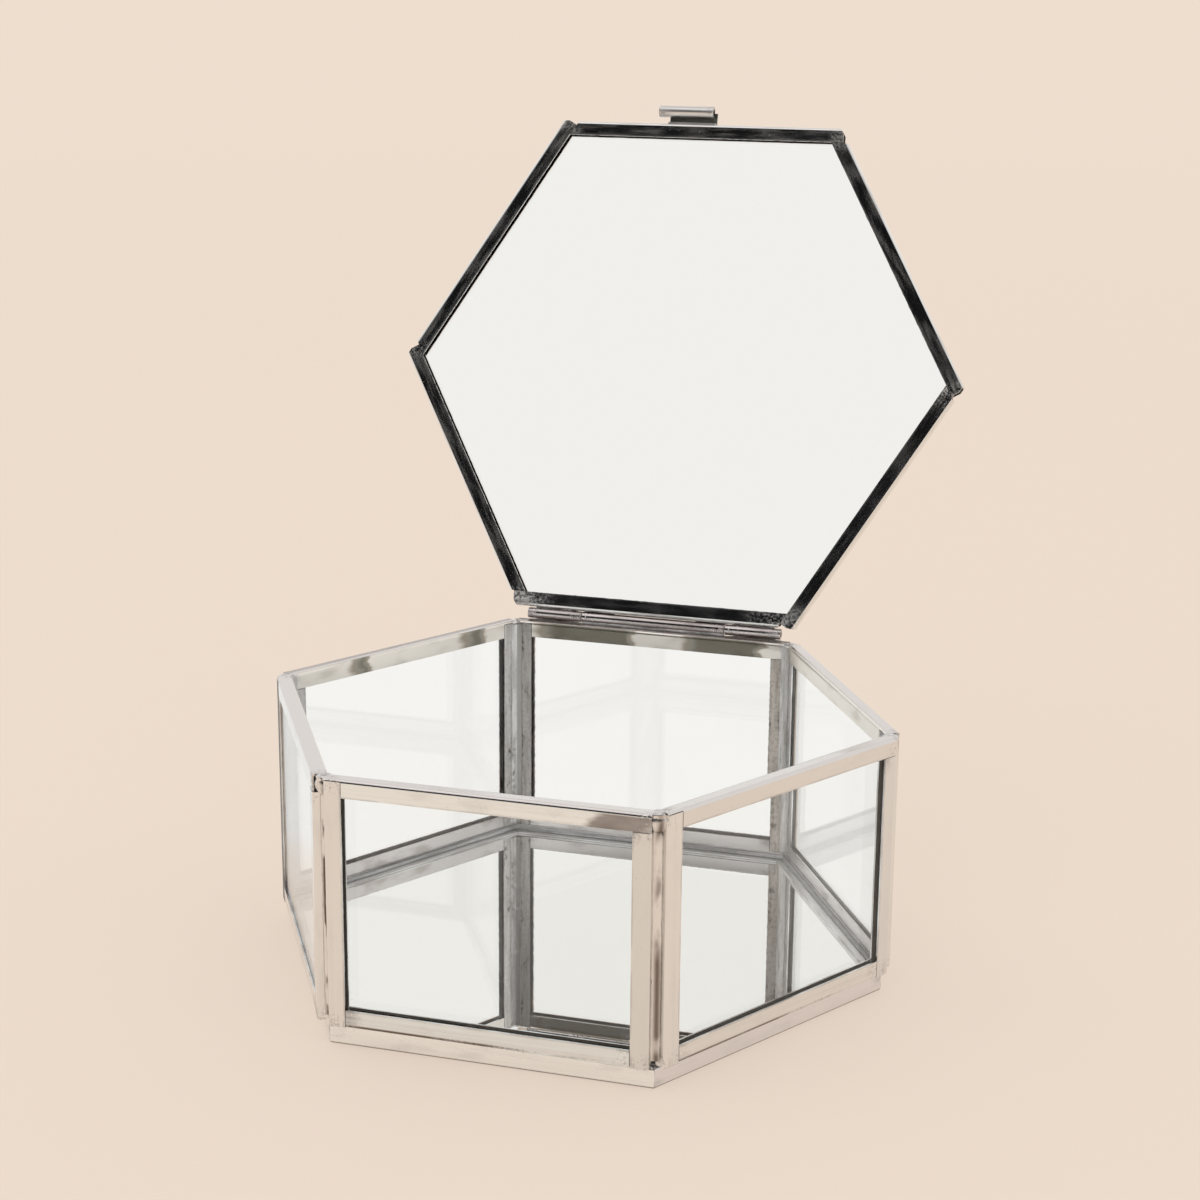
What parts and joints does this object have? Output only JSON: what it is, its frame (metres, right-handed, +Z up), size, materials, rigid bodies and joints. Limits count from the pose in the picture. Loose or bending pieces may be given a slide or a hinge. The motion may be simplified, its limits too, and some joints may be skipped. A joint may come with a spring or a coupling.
{
  "type": "glass casket box",
  "caption": "Six-sided glass keepsake box with metal channel edges, a mirror floor and a hinged glass lid.",
  "frame": {"origin": "middle of the six-sided base, on the surface the box stands on", "axes": "+Z up; the front pane faces -Y and the hinge runs along X on the +Y side; +X is to the right seen from the front"},
  "size_m": [0.167, 0.1939, 0.213],
  "materials": {
    "folded_channel": "bright silvery sheet metal, rubbed and faintly rippled, softly rounded at the folds",
    "solder": "dull grey solder, streaked and lumpy",
    "hinge_tube": "silvery drawn tube with dull smears of solder",
    "hinge_wire": "plain drawn wire",
    "clear_glass": "clear polished float glass with fine specks",
    "mirror": "silvered float glass",
    "backing_board": "dark matt board"
  },
  "bodies": {
    "box": {"base_rim_front": "folded_channel", "base_rim_front_right": "folded_channel", "base_rim_back_right": "folded_channel", "base_rim_back": "folded_channel", "base_rim_back_left": "folded_channel", "base_rim_front_left": "folded_channel", "base_mirror": "mirror", "mirror_backing": "backing_board", "base_solder": "solder", "front_pane_glass": "clear_glass", "front_pane_left_post": "folded_channel", "front_pane_right_post": "folded_channel", "front_pane_top_strip": "folded_channel", "front_pane_bottom_strip": "folded_channel", "front_right_pane_glass": "clear_glass", "front_right_pane_left_post": "folded_channel", "front_right_pane_right_post": "folded_channel", "front_right_pane_top_strip": "folded_channel", "front_right_pane_bottom_strip": "folded_channel", "back_right_pane_glass": "clear_glass", "back_right_pane_left_post": "folded_channel", "back_right_pane_right_post": "folded_channel", "back_right_pane_top_strip": "folded_channel", "back_right_pane_bottom_strip": "folded_channel", "back_pane_glass": "clear_glass", "back_pane_left_post": "folded_channel", "back_pane_right_post": "folded_channel", "back_pane_top_strip": "folded_channel", "back_pane_bottom_strip": "folded_channel", "back_left_pane_glass": "clear_glass", "back_left_pane_left_post": "folded_channel", "back_left_pane_right_post": "folded_channel", "back_left_pane_top_strip": "folded_channel", "back_left_pane_bottom_strip": "folded_channel", "front_left_pane_glass": "clear_glass", "front_left_pane_left_post": "folded_channel", "front_left_pane_right_post": "folded_channel", "front_left_pane_top_strip": "folded_channel", "front_left_pane_bottom_strip": "folded_channel", "front_right_corner_seam": "solder", "right_corner_seam": "solder", "back_right_corner_seam": "solder", "back_left_corner_seam": "solder", "left_corner_seam": "solder", "front_left_corner_seam": "solder", "hinge_body_knuckle": "hinge_tube", "hinge_body_solder": "solder"},
    "lid": {"lid_glass": "clear_glass", "lid_front_channel": "folded_channel", "lid_front_right_channel": "folded_channel", "lid_back_right_channel": "folded_channel", "lid_back_channel": "folded_channel", "lid_back_left_channel": "folded_channel", "lid_front_left_channel": "folded_channel", "hinge_left_knuckle": "hinge_tube", "hinge_right_knuckle": "hinge_tube", "hinge_lid_solder": "solder", "hinge_pin": "hinge_wire", "lift_tab": "folded_channel"}
  },
  "joints": [
    {"name": "lid_hinge", "type": "hinge", "parent": "box", "child": "lid", "pos_m": [0, 0.07298, 0.07075], "axis": [1, 0, 0], "range_deg": [0, 108]}
  ]
}
